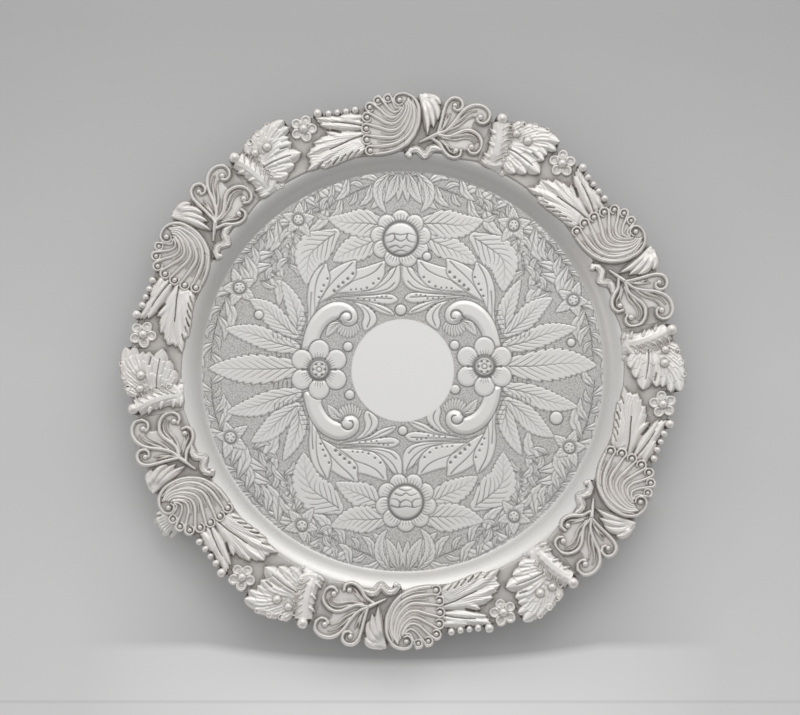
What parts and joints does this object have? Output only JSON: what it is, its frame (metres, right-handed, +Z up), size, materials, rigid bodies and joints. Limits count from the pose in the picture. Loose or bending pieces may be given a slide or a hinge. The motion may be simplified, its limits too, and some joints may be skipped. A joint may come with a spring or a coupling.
{
  "type": "silver salver",
  "caption": "Round footed salver with a chased field, a stepped bouge and a cast border of shells, scrolls and leaves.",
  "frame": {"origin": "on the floor under the middle of the tray, between the three feet", "axes": "+Z up out of the field, +Y through the middle of the first border section's shell"},
  "size_m": [0.2786, 0.2802, 0.0303],
  "materials": {
    "tray_silver": "sterling silver sheet, chased and matted field, polished bouge and flange, light patina",
    "border_silver": "cast and chased sterling silver, bright on the ridges and dark in the recesses",
    "pin_silver": "sterling silver wire, hammered heads, dull",
    "foot_silver": "cast sterling silver, bright toes and dark recesses"
  },
  "bodies": {
    "root": {"tray_plate": "tray_silver", "border_section_1": "border_silver", "border_section_2": "border_silver", "border_section_3": "border_silver", "border_section_4": "border_silver", "border_section_5": "border_silver", "border_section_6": "border_silver", "border_pins": "pin_silver", "foot_1": "foot_silver", "foot_2": "foot_silver", "foot_3": "foot_silver"}
  },
  "joints": []
}
